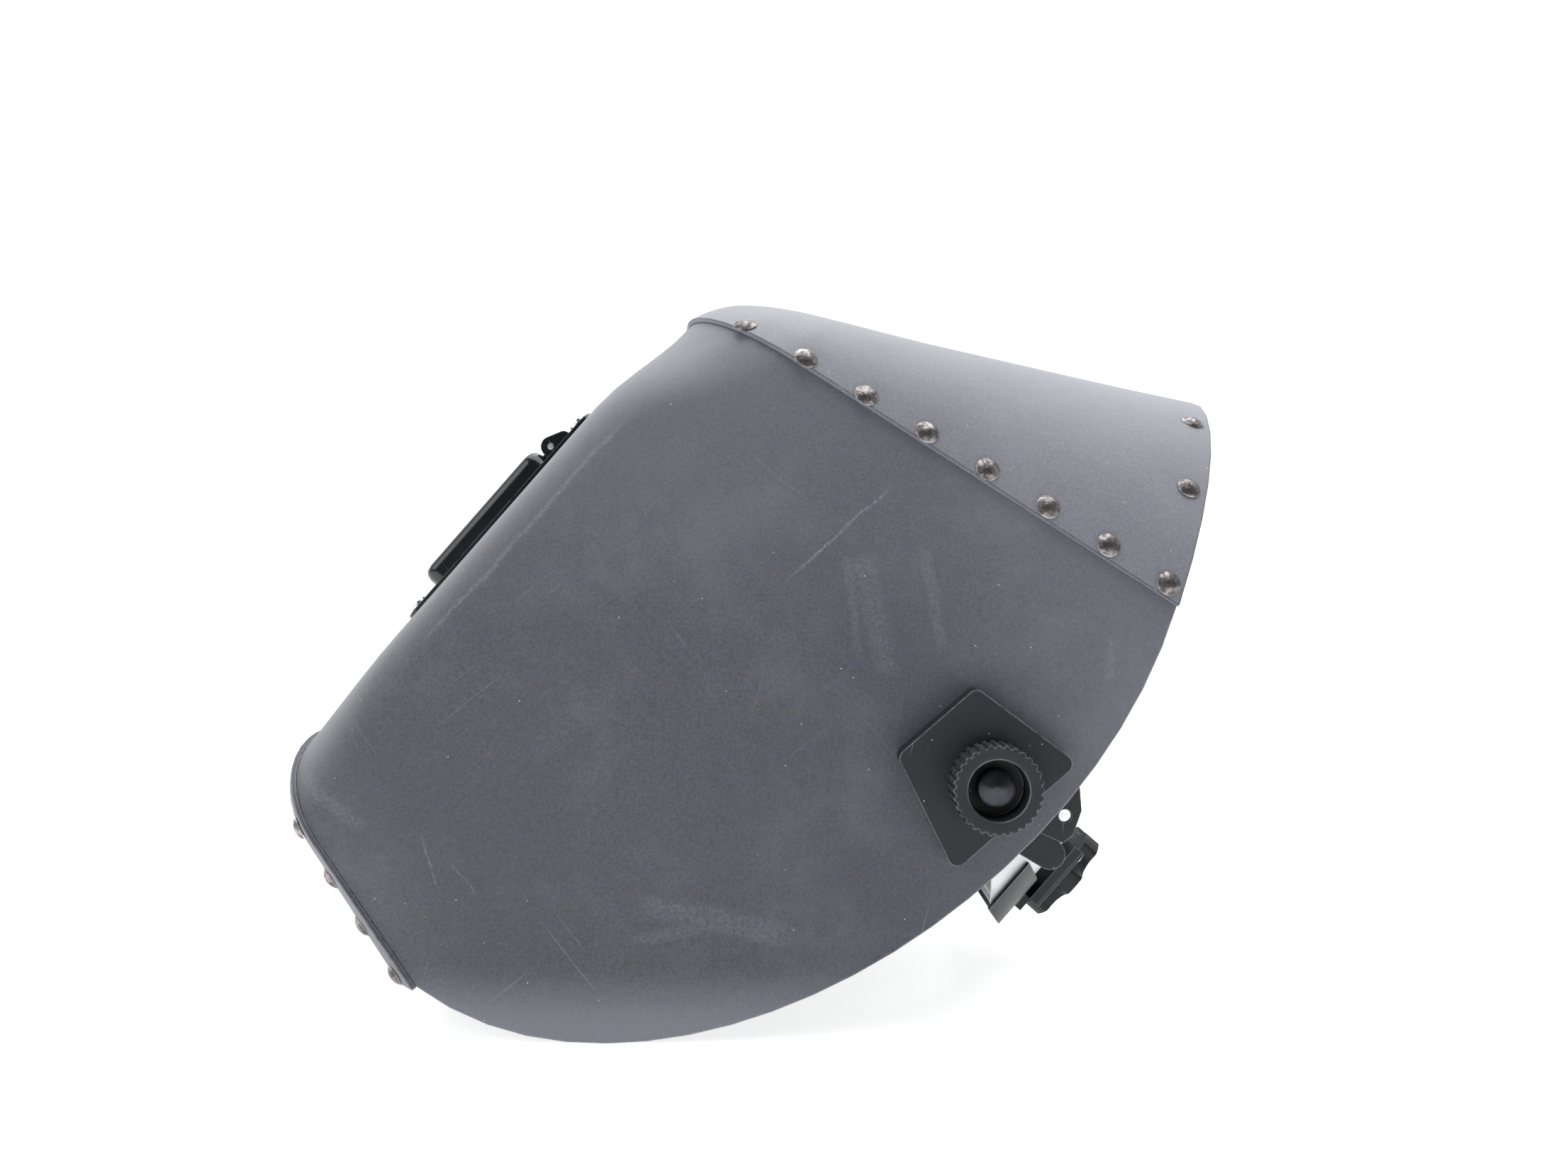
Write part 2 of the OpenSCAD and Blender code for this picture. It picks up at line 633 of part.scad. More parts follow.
// Strap over the head from angle a0 to a1, its outer face set in by inset, with a row of holes
module overhead_strap(a0, a1, inset, holes) {
    w = bracket_y - 0.2 - inset;
    h = (strap_top - inset) * strap_rise;
    at_band() difference() {
        translate([strap_x, 0, strap_z]) rotate([90, 0, -90]) linear_extrude(strap_w) polygon(concat(
            [for (q = [a0:5:a1]) [w * cos(q), h * sin(q)]],
            [for (q = [a1:-5:a0]) [(w - strap_t) * cos(q), (h - strap_t * strap_rise) * sin(q)]]
        ));
        for (q = holes) at_arch(q, 0) cylinder(r = 2.1, h = 16, center = true, $fn = 20);
    }
}
module overhead_strap_left() {
    color("#26282b") overhead_strap(0, 105, 0, [46:6:70]);
}
module overhead_strap_right() {
    color("#26282b") overhead_strap(75, 180, strap_t + 0.2, [110:6:134]);
}
module strap_buttons() {
    color("#3a3c40") at_band() for (q = [82, 98]) at_arch(q, 0) translate([0, 0, -4.2]) {
        cylinder(r = 2, h = 4.6);
        translate([0, 0, 4.4]) cylinder(r = 3.6, h = 1.2);
        translate([0, 0, -0.6]) cylinder(r = 3.2, h = 0.9);
    }
}
rear_h = 46;
rear_z = -1;         // middle of the rear band's height
rear_t = 1.6;
rear_w = band_half_w - band_t - 0.4;
rear_x = 20;
rear_a = band_rear - rear_x;
// Frame of the nape: x straight back, z up, with its origin on the back of the rear band
module at_nape() {
    at_band() translate([band_rear, 0, rear_z]) rotate([0, -band_tilt, 0]) children();
}
// Leans a band at the middle of the rear band's height, so that its back stands upright in the nape's frame
module lean_back() {
    at_band() translate([0, 0, rear_z])
        multmatrix([[1, 0, -tan(band_tilt), 0], [0, 1, 0, 0], [0, 0, 1, 0]]) children();
}
rear_outline = [
    [-12, -10], [-12, 12], [28, 12], [48, rear_h / 2], [90, rear_h / 2],
    [90, -rear_h / 2], [48, -rear_h / 2], [28, -10]
];
module rear_band() {
    color("#dfe2e3") lean_back() side_cut(rear_outline)
        band(rear_x, rear_a, rear_w, rear_t, rear_x + 4, 1, rear_h);
}
// Dark strip that carries the rear band's lower edge round the back of the head
cradle_t = 2.2;
module rear_cradle() {
    color("#1e2023") lean_back() translate([0, 0, -13]) intersection() {
        band(rear_x, rear_a + cradle_t + 0.1, rear_w + cradle_t + 0.1, cradle_t, 1, 1, 24);
        translate([48, -band_half_w, -rear_h]) cube([60, 2 * band_half_w, 2 * rear_h]);
    }
}
housing_x = cradle_t + 0.3;   // front of the ratchet housing in the nape's frame
housing_d = 4;
housing_z = 6;
cover_t = 1.2;
shaft_z = housing_z + 2;
ratchet_x = housing_x + housing_d + cover_t + 0.32;
module ratchet_housing() {
    color("#222428") at_nape() difference() {
        union() {
            translate([housing_x, -27, housing_z - 15]) cube([housing_d, 54, 30]);
            translate([housing_x, -18, housing_z - 22]) cube([housing_d - 1, 36, 10]);
        }
        translate([housing_x + 1, -22, housing_z - 11]) cube([housing_d, 44, 22]);
        translate([housing_x + 0.3, 0, shaft_z]) rotate([0, 90, 0]) cylinder(r = 2 + fit, h = 9);
    }
}
module ratchet_cover() {
    color("#26282c") at_nape() difference() {
        translate([housing_x + housing_d + 0.02, -27, housing_z - 15]) cube([cover_t, 54, 30]);
        translate([housing_x, 0, shaft_z]) rotate([0, 90, 0]) cylinder(r = 4 + fit, h = 9);
    }
}
lobes = 6;
module ratchet_knob() {
    color("#17181b") at_nape() translate([ratchet_x, 0, shaft_z]) rotate([0, 90, 0]) difference() {
        union() {
            linear_extrude(7.5) offset(2.2) offset(-2.2) difference() {
                circle(ratchet_r);
                for (n = [0:lobes - 1]) rotate(n * 360 / lobes) translate([ratchet_r + 5, 0]) circle(9);
            }
            translate([0, 0, -1.2]) cylinder(r = 4, h = 1.5);
        }
        translate([0, 0, 5]) cylinder(r = 7, h = 5);
    }
}
teeth = 12;
module ratchet_pinion() {
    color("#d0cfc8") at_nape() translate([housing_x + 1.2, 0, shaft_z]) rotate([0, 90, 0]) union() {
        linear_extrude(2.4) difference() {
            circle(6.5);
            for (n = [0:teeth - 1]) rotate(n * 360 / teeth) translate([6.9, 0]) circle(1.1, $fn = 16);
        }
        translate([0, 0, -0.7]) cylinder(r = 2, h = 1);
    }
}
module housing_screws() {
    color("#8d8f92") at_nape() for (y = [-1, 1]) translate([housing_x + 1.5, y * 24.5, housing_z + 12])
        rotate([0, 90, 0]) {
            cylinder(r = 1, h = housing_d);
            translate([0, 0, housing_d + cover_t - 1.5 + 0.05]) cylinder(r = 2, h = 0.3);
        }
}
module nape_pad() {
    color("#e8e8e4") lean_back() translate([0, 0, -10]) intersection() {
        band(rear_x, rear_a - rear_t - 0.3, rear_w - rear_t - 0.3, 6, 1, 1, 24);
        translate([48, -band_half_w / 2, -rear_h]) cube([60, band_half_w, 2 * rear_h]);
    }
}

main_shell();
crown_cap();
chin_piece();
crown_edge_strip();
crown_side_rivets();
crown_rear_rivets();
crown_front_rivets();
chin_rivet_row();
holder_base();
holder_clamp_frame();
holder_screws();
holder_nuts();
safety_plate();
plate_spring();
lift_frame();
filter_plate();
cover_plate();
lift_retainer();
hinge_pin();
hinge_spring();
pivot_plate(-1);  // pivot_plate_left
pivot_plate(1);  // pivot_plate_right
friction_washer(-1);  // friction_washer_left
friction_washer(1);  // friction_washer_right
tension_knob(-1);  // tension_knob_left
tension_knob(1);  // tension_knob_right
knob_insert(-1);  // knob_insert_left
knob_insert(1);  // knob_insert_right
pivot_stud(-1);  // pivot_stud_left
pivot_stud(1);  // pivot_stud_right
pivot_arm(-1);  // pivot_arm_left
pivot_arm(1);  // pivot_arm_right
stop_disc(-1);  // stop_disc_left
stop_disc(1);  // stop_disc_right
front_headband();
sweatband();
side_bracket(-1);  // side_bracket_left
side_bracket(1);  // side_bracket_right
bracket_rivets();
overhead_strap_left();
overhead_strap_right();
strap_buttons();
rear_band();
rear_cradle();
nape_pad();
ratchet_housing();
ratchet_cover();
ratchet_knob();
ratchet_pinion();
housing_screws();
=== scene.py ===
"""Welding helmet: fibre shell, lift-front lens holder, knurled side knobs and ratchet headgear."""
import json
import math

import bmesh
import bpy
from mathutils import Matrix, Vector
from mathutils.bvhtree import BVHTree


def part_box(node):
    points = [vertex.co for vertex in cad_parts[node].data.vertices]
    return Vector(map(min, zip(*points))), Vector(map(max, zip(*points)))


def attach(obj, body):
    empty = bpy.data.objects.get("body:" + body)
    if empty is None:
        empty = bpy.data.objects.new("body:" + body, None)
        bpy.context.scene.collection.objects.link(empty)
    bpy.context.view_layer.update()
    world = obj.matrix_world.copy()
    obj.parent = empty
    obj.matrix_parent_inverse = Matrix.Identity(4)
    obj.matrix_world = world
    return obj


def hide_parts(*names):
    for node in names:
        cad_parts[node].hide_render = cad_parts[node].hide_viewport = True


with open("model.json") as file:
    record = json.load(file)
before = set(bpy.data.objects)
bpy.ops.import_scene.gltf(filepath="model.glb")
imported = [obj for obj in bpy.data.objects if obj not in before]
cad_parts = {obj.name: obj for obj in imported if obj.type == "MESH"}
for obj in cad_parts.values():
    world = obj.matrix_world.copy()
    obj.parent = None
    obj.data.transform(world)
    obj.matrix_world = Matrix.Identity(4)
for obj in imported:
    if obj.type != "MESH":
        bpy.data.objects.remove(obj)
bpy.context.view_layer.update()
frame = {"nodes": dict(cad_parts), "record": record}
NODES = frame["nodes"]
JOINTS = {j["name"]: j for j in frame["record"]["behaviour"]["joints"]}
PIVOT = Vector(JOINTS["headgear_tilt"]["pos_m"])
FACE_LEAN = math.radians(41.2)
BAND_TILT = math.radians(15)
MM = 0.001
PALE_DUST_AND_PAINTED_LIGHT = (0.40, 0.42, 0.48, 1)       # of rubbed, scratched and dusty fibre, and of painted light on the sheet's lower edge, top and rear
WORN_PLASTIC = (0.30, 0.31, 0.33, 1)    # of rubbed edges and scratches

# The helmet's own frame: x backward, y sideways, z up, with its origin on the pivot axis
HELMET = Matrix.Translation(PIVOT) @ Matrix.Rotation(FACE_LEAN, 4, "Y")
BAND = HELMET @ Matrix.Rotation(BAND_TILT, 4, "Y")


# ---------------------------------------------------------------- camera, floor and light
def make_camera():
    """Level camera at the helmet's left side."""
    distance = 0.571            # from the lens to the helmet's middle plane
    height = 0.164              # of the lens above the bench
    ahead_of_pivot = 0.073      # from the lens axis back to the pivot axis
    data = bpy.data.cameras.new("camera")
    data.sensor_width = 36
    data.lens = 29.1
    data.clip_start = 0.01
    camera = bpy.data.objects.new("camera", data)
    camera.location = (PIVOT.x - ahead_of_pivot, -distance, height)
    camera.rotation_euler = (math.radians(90), 0, 0)
    bpy.context.scene.collection.objects.link(camera)
    bpy.context.scene.camera = camera


def softbox(name, place, size, power):
    """Square area light that points at the helmet's middle."""
    data = bpy.data.lights.new(name, "AREA")
    data.size = size
    data.energy = power
    light = bpy.data.objects.new(name, data)
    light.location = place
    light.rotation_euler = (Vector((0, 0, 0.15)) - Vector(place)).to_track_quat("-Z", "Y").to_euler()
    bpy.context.scene.collection.objects.link(light)


def make_studio():
    """White floor and walls, brighter behind the helmet than in front of it, and two softboxes."""
    bm = bmesh.new()
    bmesh.ops.create_grid(bm, x_segments=1, y_segments=1, size=6)
    mesh = bpy.data.meshes.new("floor")
    bm.to_mesh(mesh)
    bm.free()
    floor = bpy.data.objects.new("floor", mesh)
    bpy.context.scene.collection.objects.link(floor)
    paint = bpy.data.materials.new("studio_white")
    paint.use_nodes = True
    shader = paint.node_tree.nodes["Principled BSDF"]
    shader.inputs["Base Color"].default_value = (0.9, 0.9, 0.9, 1)
    shader.inputs["Roughness"].default_value = 0.6
    shader.inputs["Emission Color"].default_value = (1, 1, 1, 1)
    shader.inputs["Emission Strength"].default_value = 0.72
    mesh.materials.append(paint)

    world = bpy.data.worlds.new("studio")
    world.use_nodes = True
    tree = Tree(world.node_tree)
    sky = world.node_tree.nodes["Background"]
    sky.inputs["Color"].default_value = (1, 1, 1, 1)
    seen = tree.add("ShaderNodeLightPath").outputs["Is Camera Ray"]
    direction = tree.add("ShaderNodeTexCoord").outputs["Generated"]
    away = tree.add("ShaderNodeSeparateXYZ", Vector=direction).outputs["Y"]
    glow = tree.ramp(away, -0.9, 0.5, 0.13, 1.15)
    backdrop = tree.math("MULTIPLY", seen, 1.3)
    lighting = tree.math("MULTIPLY", tree.math("SUBTRACT", 1.0, seen), glow)
    strength = tree.math("ADD", backdrop, lighting)
    tree.put(sky.inputs["Strength"], strength)
    bpy.context.scene.world = world
    bpy.context.scene.view_settings.view_transform = "Standard"
    softbox("top_softbox", (0.1, 0.1, 1.3), 1.5, 24)
    softbox("left_softbox", (-1.2, -0.9, 0.9), 0.9, 7)


# ---------------------------------------------------------------- node helpers
class Tree:
    """Short ways to add and join nodes in a shader tree."""

    def __init__(self, tree):
        self.tree = tree

    def add(self, kind, settings=None, **inputs):
        """Node of a kind with its settings, and its inputs by name with _ for a space."""
        node = self.tree.nodes.new(kind)
        for key, value in (settings or {}).items():
            setattr(node, key, value)
        for key, value in inputs.items():
            self.put(node.inputs[key.replace("_", " ")], value)
        return node

    def put(self, socket, value):
        """Links a socket's value from another socket, or sets it."""
        if isinstance(value, bpy.types.NodeSocket):
            self.tree.links.new(value, socket)
        else:
            socket.default_value = value

    def math(self, operation, a, b=0.0, clamp=False):
        node = self.add("ShaderNodeMath", {"operation": operation, "use_clamp": clamp})
        self.put(node.inputs[0], a)
        self.put(node.inputs[1], b)
        return node.outputs[0]

    def noise(self, vector, scale, detail=4.0, rough=0.55):
        node = self.add("ShaderNodeTexNoise", Vector=vector, Scale=scale, Detail=detail, Roughness=rough)
        return node.outputs["Fac"]

    def ramp(self, value, low, high, bottom=0.0, top=1.0):
        """Smooth step from bottom to top as the value goes from low to high."""
        node = self.add("ShaderNodeMapRange", {"interpolation_type": "SMOOTHSTEP"}, Value=value)
        node.inputs["From Min"].default_value = low
        node.inputs["From Max"].default_value = high
        node.inputs["To Min"].default_value = bottom
        node.inputs["To Max"].default_value = top
        return node.outputs["Result"]

    def mix(self, factor, a, b):
        node = self.add("ShaderNodeMix", {"data_type": "RGBA"})
        self.put(node.inputs["Factor"], factor)
        colour_a, colour_b, result = node.inputs[6], node.inputs[7], node.outputs[2]
        self.put(colour_a, a)
        self.put(colour_b, b)
        return result

    def stretch(self, vector, scale=(1, 1, 1), turn=(0, 0, 0), shift=(0, 0, 0)):
        node = self.add("ShaderNodeMapping", Vector=vector)
        node.inputs["Scale"].default_value = scale
        node.inputs["Rotation"].default_value = [math.radians(a) for a in turn]
        node.inputs["Location"].default_value = shift
        return node.outputs["Vector"]

    def place(self):
        """Position on the object; every piece's origin is the frame's, so all pieces share it."""
        return self.add("ShaderNodeTexCoord").outputs["Object"]

    def group(self, name, **inputs):
        return self.add("ShaderNodeGroup", {"node_tree": bpy.data.node_groups[name]}, **inputs)


def new_group(name, inputs, outputs):
    """Shader node group with named sockets: (name, kind, default) in and (name, kind) out."""
    tree = bpy.data.node_groups.new(name, "ShaderNodeTree")
    for label, kind, default in inputs:
        socket = tree.interface.new_socket(label, in_out="INPUT", socket_type="NodeSocket" + kind)
        if default is not None:
            socket.default_value = default
    for label, kind in outputs:
        tree.interface.new_socket(label, in_out="OUTPUT", socket_type="NodeSocket" + kind)
    t = Tree(tree)
    return t, t.add("NodeGroupInput").outputs, t.add("NodeGroupOutput").inputs


def make_grain():
    """Fine moulded or pressed grain: a height, and a mask of its pits."""
    t, given, out = new_group(
        "grain",
        [("Place", "Vector", None), ("Scale", "Float", 900.0)],
        [("Height", "Float"), ("Pits", "Float")],
    )
    fine = t.noise(given["Place"], given["Scale"], 3.0, 0.6)
    coarse = t.noise(given["Place"], t.math("MULTIPLY", given["Scale"], 0.22), 3.0, 0.5)
    height = t.math("ADD", t.math("MULTIPLY", fine, 0.6), t.math("MULTIPLY", coarse, 0.4))
    t.put(out["Height"], height)
    t.put(out["Pits"], t.ramp(fine, 0.30, 0.48, 1.0, 0.0))


def make_edge_wear_and_shade():
    """Mask of edges, broken up by noise: worn edges, and on the crown painted shade along its cut edges."""
    t, given, out = new_group(
        "edge_wear_and_shade",
        [("Place", "Vector", None), ("Radius", "Float", 0.0006), ("Amount", "Float", 0.5)],
        [("Mask", "Float")],
    )
    rounded = t.add("ShaderNodeBevel", {"samples": 4}, Radius=given["Radius"]).outputs[0]
    true_normal = t.add("ShaderNodeNewGeometry").outputs["Normal"]
    dot = t.add("ShaderNodeVectorMath", {"operation": "DOT_PRODUCT"})
    t.put(dot.inputs[0], rounded)
    t.put(dot.inputs[1], true_normal)
    edge = t.ramp(t.math("SUBTRACT", 1.0, dot.outputs["Value"]), 0.004, 0.05)
    patches = t.ramp(t.noise(given["Place"], 260.0, 5.0, 0.7), 0.30, 0.52)
    t.put(out["Mask"], t.math("MULTIPLY", t.math("MULTIPLY", edge, patches), given["Amount"], clamp=True))


def make_dust():
    """Mask of sparse pale specks and a mask of thin smeary dust."""
    t, given, out = new_group(
        "dust",
        [("Place", "Vector", None), ("Density", "Float", 0.02)],
        [("Specks", "Float"), ("Haze", "Float")],
    )
    cells = t.add("ShaderNodeTexVoronoi", Vector=given["Place"], Scale=700.0)
    lot = t.add("ShaderNodeSeparateColor", Color=cells.outputs["Color"]).outputs["Red"]
    chosen = t.math("LESS_THAN", lot, given["Density"])
    dots = t.ramp(cells.outputs["Distance"], 0.09, 0.20, 1.0, 0.0)
    t.put(out["Specks"], t.math("MULTIPLY", dots, chosen))
    t.put(out["Haze"], t.ramp(t.noise(given["Place"], 22.0, 6.0, 0.65), 0.45, 0.75))


def make_hairlines():
    """Mask of short fine scratches in three directions, each in its own patches."""
    t, given, out = new_group(
        "hairlines",
        [("Place", "Vector", None), ("Scale", "Float", 1.0)],
        [("Mask", "Float")],
    )
    sized = t.add("ShaderNodeVectorMath", {"operation": "SCALE"})
    t.put(sized.inputs[0], given["Place"])
    t.put(sized.inputs["Scale"], given["Scale"])
    place = sized.outputs[0]
    total = None
    for turn, seed in ((38, 0.0), (-52, 3.1), (74, 7.7)):
        turned = t.stretch(place, turn=(0, turn, 0), shift=(seed, seed, seed))
        line = t.ramp(t.noise(t.stretch(turned, (14, 14, 900)), 1.0, 2.0, 0.5), 0.70, 0.76)
        patch = t.ramp(t.noise(t.stretch(place, shift=(seed, 0, seed)), 26.0, 3.0, 0.5), 0.52, 0.66)
        part = t.math("MULTIPLY", line, patch)
        total = part if total is None else t.math("MAXIMUM", total, part)
    t.put(out["Mask"], total)


def make_mark():
    """Mask of one rubbed mark on a side panel: a soft-ended stroke in the x and z of the frame."""
    t, given, out = new_group(
        "mark",
        [("Place", "Vector", None), ("Middle", "Vector", None), ("Turn", "Float", 0.0),
         ("Half length", "Float", 0.02), ("Half width", "Float", 0.001)],
        [("Mask", "Float")],
    )
    moved = t.add("ShaderNodeVectorMath", {"operation": "SUBTRACT"})
    t.put(moved.inputs[0], given["Place"])
    t.put(moved.inputs[1], given["Middle"])
    turned = t.add("ShaderNodeVectorRotate", {"rotation_type": "Y_AXIS"})
    t.put(turned.inputs["Vector"], moved.outputs[0])
    t.put(turned.inputs["Angle"], given["Turn"])
    xyz = t.add("ShaderNodeSeparateXYZ", Vector=turned.outputs[0])
    wobble = t.math("MULTIPLY", t.math("SUBTRACT", t.noise(given["Place"], 45.0, 3.0), 0.5), 0.006)
    off_line = t.math("ABSOLUTE", t.math("ADD", xyz.outputs["Z"], wobble))
    across = t.math("DIVIDE", off_line, given["Half width"])
    along = t.math("DIVIDE", t.math("ABSOLUTE", xyz.outputs["X"]), given["Half length"])
    body = t.math("MULTIPLY", t.ramp(across, 0.25, 1.0, 1.0, 0.0), t.ramp(along, 0.7, 1.0, 1.0, 0.0))
    grit = t.ramp(t.noise(given["Place"], 900.0, 6.0, 0.85), 0.38, 0.70)
    t.put(out["Mask"], t.math("MULTIPLY", body, grit))


def new_material(name, **settings):
    """Material with its Principled shader's constant sockets set; returns (material, tree, shader)."""
    material = bpy.data.materials.new(name)
    material.use_nodes = True
    shader = material.node_tree.nodes["Principled BSDF"]
    for key, value in settings.items():
        shader.inputs[key.replace("_", " ")].default_value = value
    return material, Tree(material.node_tree), shader


def set_bump(t, shader, height, depth, strength):
    """Drives the shader's normal from a height in the range 0 to 1, depth metres high."""
    bump = t.add("ShaderNodeBump", Height=height)
    bump.inputs["Distance"].default_value = depth
    bump.inputs["Strength"].default_value = strength
    t.put(shader.inputs["Normal"], bump.outputs["Normal"])


# Rubbed marks on the side panels: middle (x, z) on the bench, length, width, turn and strength
PANEL_MARKS = (
    ((34, 185.5), 49, 1.6, 42, 0.34),
    ((22, 174), 30, 1.2, 44, 0.20),
    ((45, 154), 50, 12, 104, 0.13),
    ((37, 158), 40, 5, 98, 0.13),
    ((66, 161), 45, 7, 100, 0.13),
    ((131, 138), 17, 5, 82, 0.16),
    ((-12, 44), 64, 12, -12, 0.17),
    ((-30, 39), 30, 6, 10, 0.14),
    ((-116, 66), 22, 1.4, -75, 0.26),
    ((-103, 59), 15, 1.2, -55, 0.26),
    ((-152, 86), 34, 9, -35, 0.16),
    ((-81, 185), 118, 2.6, 48, 0.26),
    ((-60, 120), 60, 16, 40, 0.05),
    ((10, 205), 26, 1.0, -38, 0.14),
)


def tinted(colour, red, green, blue):
    """Colour with each channel multiplied, as the four numbers a colour socket takes."""
    return (colour[0] * red, colour[1] * green, colour[2] * blue, 1)


def shade(colour, factor):
    return tinted(colour, factor, factor, factor)


def fibre_material(name, colour, marks, edge_wear_and_shade_colour, edge_width, edge_amount):
    """Pressed vulcanised fibre: matte speckled grey with cloudy tone, rubbed marks, dust, painted light on
    the lower edge, top and rear, and edges in a colour of their own, which on the crown is painted shade.
    """
    material, t, shader = new_material(name, IOR=1.45, Sheen_Weight=0.22, Sheen_Roughness=0.4)
    place = t.place()
    cloud = t.ramp(t.noise(place, 9.0, 5.0, 0.6), 0.3, 0.7)
    grain = t.group("grain", Place=place, Scale=1400.0)
    mottle = t.ramp(t.noise(place, 950.0, 5.0, 0.85), 0.30, 0.70)
    hue = t.ramp(t.noise(place, 300.0, 3.0, 0.7), 0.36, 0.64)
    warm = t.mix(mottle, tinted(colour, 0.635, 0.60, 0.565), tinted(colour, 1.49, 1.42, 1.35))
    cool = t.mix(mottle, tinted(colour, 0.565, 0.60, 0.635), tinted(colour, 1.35, 1.42, 1.49))
    tone = t.mix(hue, warm, cool)
    tone = t.mix(t.math("MULTIPLY", cloud, 0.35), tone, shade(colour, 1.22))
    tone = t.mix(t.math("MULTIPLY", grain.outputs["Pits"], 0.35), tone, shade(colour, 0.45))
    spot = t.add("ShaderNodeSeparateXYZ", Vector=place)
    # The lower edge, the top and the rear are painted paler than the middle: painted light from the floor
    # below, painted light from above on the top, and a painted light band along the rear
    low = t.ramp(spot.outputs["Z"], 0.030, 0.002, 0.0, 0.32)
    high = t.ramp(spot.outputs["Z"], 0.13, 0.27, 0.0, 0.14)
    painted_rear_light = t.ramp(spot.outputs["X"], 0.04, 0.15, 0.0, 0.13)
    tone = t.mix(t.math("ADD", low, t.math("ADD", high, painted_rear_light)), tone, PALE_DUST_AND_PAINTED_LIGHT)
    for (x, z), length, width, turn, strength in marks:
        mark = t.group("mark", Place=place, Middle=(x * MM, 0, z * MM), Turn=math.radians(turn),
                       Half_length=length * MM / 2, Half_width=width * MM / 2)
        tone = t.mix(t.math("MULTIPLY", mark.outputs["Mask"], strength), tone, PALE_DUST_AND_PAINTED_LIGHT)
    lines = t.group("hairlines", Place=place)
    tone = t.mix(t.math("MULTIPLY", lines.outputs["Mask"], 0.15), tone, PALE_DUST_AND_PAINTED_LIGHT)
    dust = t.group("dust", Place=place, Density=0.007)
    tone = t.mix(t.math("MULTIPLY", dust.outputs["Haze"], 0.06), tone, PALE_DUST_AND_PAINTED_LIGHT)
    tone = t.mix(t.math("MULTIPLY", dust.outputs["Specks"], 0.7), tone, (0.75, 0.75, 0.72, 1))
    # Edges take their own colour: pale wear on the side sheet, and near-black painted shade along the
    # crown's cut edge where it overlaps the side panels
    edges = t.group("edge_wear_and_shade", Place=place, Radius=edge_width, Amount=edge_amount)
    tone = t.mix(edges.outputs["Mask"], tone, edge_wear_and_shade_colour)
    t.put(shader.inputs["Base Color"], tone)
    t.put(shader.inputs["Roughness"], t.ramp(cloud, 0.0, 1.0, 0.58, 0.70))
    set_bump(t, shader, grain.outputs["Height"], 0.00012, 0.6)
    return material


def moulded_material(name, colour, roughness, grain_scale=1500.0, grain_depth=0.00004, wear=0.5, shine=0.5):
    """Moulded plastic with a fine grain, rubbed edges and a little dust."""
    material, t, shader = new_material(name, IOR=1.48, Specular_IOR_Level=shine)
    place = t.place()
    grain = t.group("grain", Place=place, Scale=grain_scale)
    cloud = t.ramp(t.noise(place, 30.0, 4.0, 0.6), 0.3, 0.7)
    tone = t.mix(cloud, shade(colour, 0.85), shade(colour, 1.2))
    lines = t.group("hairlines", Place=place, Scale=1.8)
    tone = t.mix(t.math("MULTIPLY", lines.outputs["Mask"], 0.25), tone, WORN_PLASTIC)
    edges = t.group("edge_wear_and_shade", Place=place, Radius=0.0006, Amount=wear)
    tone = t.mix(edges.outputs["Mask"], tone, WORN_PLASTIC)
    dust = t.group("dust", Place=place, Density=0.010)
    tone = t.mix(t.math("MULTIPLY", dust.outputs["Specks"], 0.6), tone, (0.7, 0.7, 0.66, 1))
    t.put(shader.inputs["Base Color"], tone)
    cloudy = t.math("ADD", t.math("MULTIPLY", cloud, 0.10), roughness - 0.05)
    scratched = t.math("MULTIPLY", lines.outputs["Mask"], 0.15)
    t.put(shader.inputs["Roughness"], t.math("ADD", cloudy, scratched))
    set_bump(t, shader, grain.outputs["Height"], grain_depth, 0.7)
    return material


def metal_material(name, dark, bright, roughness, dent_depth):
    """Metal with darker tarnish in patches, a worn bright side and shallow dents."""
    material, t, shader = new_material(name, Metallic=1.0)
    place = t.place()
    patches = t.ramp(t.noise(place, 420.0, 5.0, 0.65), 0.40, 0.62)
    tone = t.mix(patches, shade(dark, 1), shade(bright, 1))
    edges = t.group("edge_wear_and_shade", Place=place, Radius=0.0005, Amount=0.7)
    tone = t.mix(edges.outputs["Mask"], tone, shade(bright, 1.5))
    t.put(shader.inputs["Base Color"], tone)
    t.put(shader.inputs["Roughness"], t.ramp(patches, 0.0, 1.0, roughness + 0.12, roughness - 0.08))
    set_bump(t, shader, t.noise(place, 700.0, 2.0, 0.5), dent_depth, 0.8)
    return material


def turned_material(name, colour):
    """Dark turned metal: fine rings about the pivot axis that catch the light in fans."""
    material, t, shader = new_material(name, Metallic=1.0, Anisotropic=0.6)
    place = t.place()
    centred = t.add("ShaderNodeVectorMath", {"operation": "SUBTRACT"})
    t.put(centred.inputs[0], place)
    centred.inputs[1].default_value = PIVOT
    flat = t.stretch(centred.outputs[0], (1, 0, 1))
    radius = t.add("ShaderNodeVectorMath", {"operation": "LENGTH"})
    t.put(radius.inputs[0], flat)
    rings = t.noise(t.add("ShaderNodeCombineXYZ", X=radius.outputs["Value"]).outputs[0], 5000.0, 2.0, 0.5)
    cloud = t.ramp(t.noise(place, 300.0, 4.0, 0.6), 0.3, 0.7)
    tone = t.mix(rings, shade(colour, 0.7), shade(colour, 1.35))
    tone = t.mix(t.math("MULTIPLY", cloud, 0.4), tone, (0.05, 0.05, 0.055, 1))
    t.put(shader.inputs["Base Color"], tone)
    t.put(shader.inputs["Roughness"], t.ramp(cloud, 0.0, 1.0, 0.28, 0.44))
    set_bump(t, shader, rings, 0.00004, 0.6)
    return material


